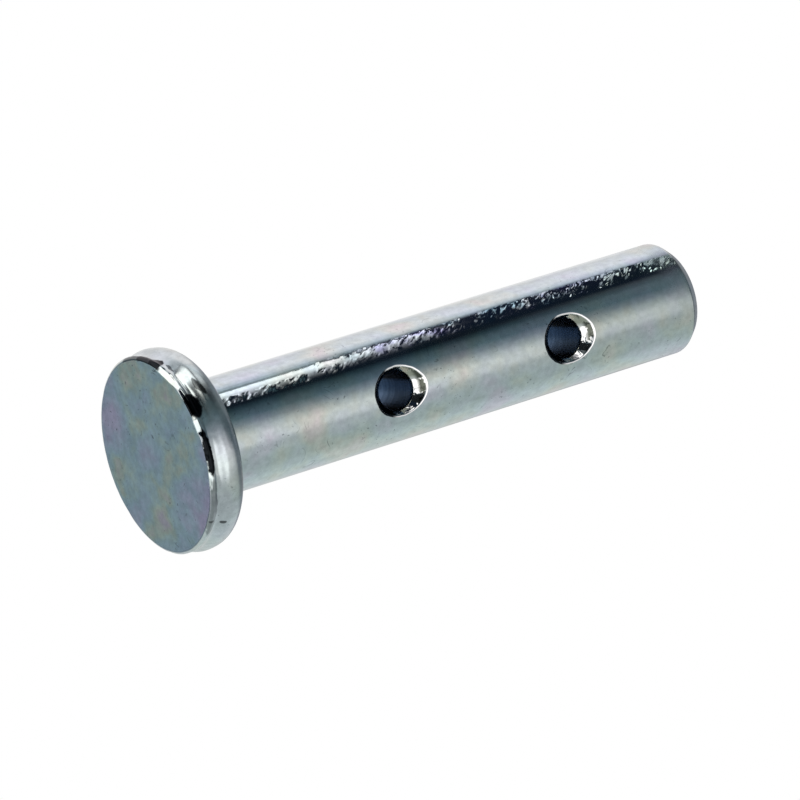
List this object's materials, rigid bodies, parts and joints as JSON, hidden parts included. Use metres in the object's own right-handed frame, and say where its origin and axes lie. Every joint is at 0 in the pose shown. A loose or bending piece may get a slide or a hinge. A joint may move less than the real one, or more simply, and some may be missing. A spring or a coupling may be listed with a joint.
{
  "type": "clevis pin",
  "caption": "Straight steel pin with a flat round head, a chamfered tip and countersunk cross holes for a split pin or clip that keeps it in a clevis.",
  "frame": {"origin": "centre of the head's flat outer face, which the pin stands on", "axes": "+Z along the pin from head to tip; +X along both cross holes"},
  "size_m": [0.0176, 0.0176, 0.054],
  "materials": {
    "zinc_plated_steel": "clear-passivated zinc plating, satin, with faint iridescent patches"
  },
  "bodies": {
    "root": {"clevis_pin": "zinc_plated_steel"}
  },
  "joints": []
}
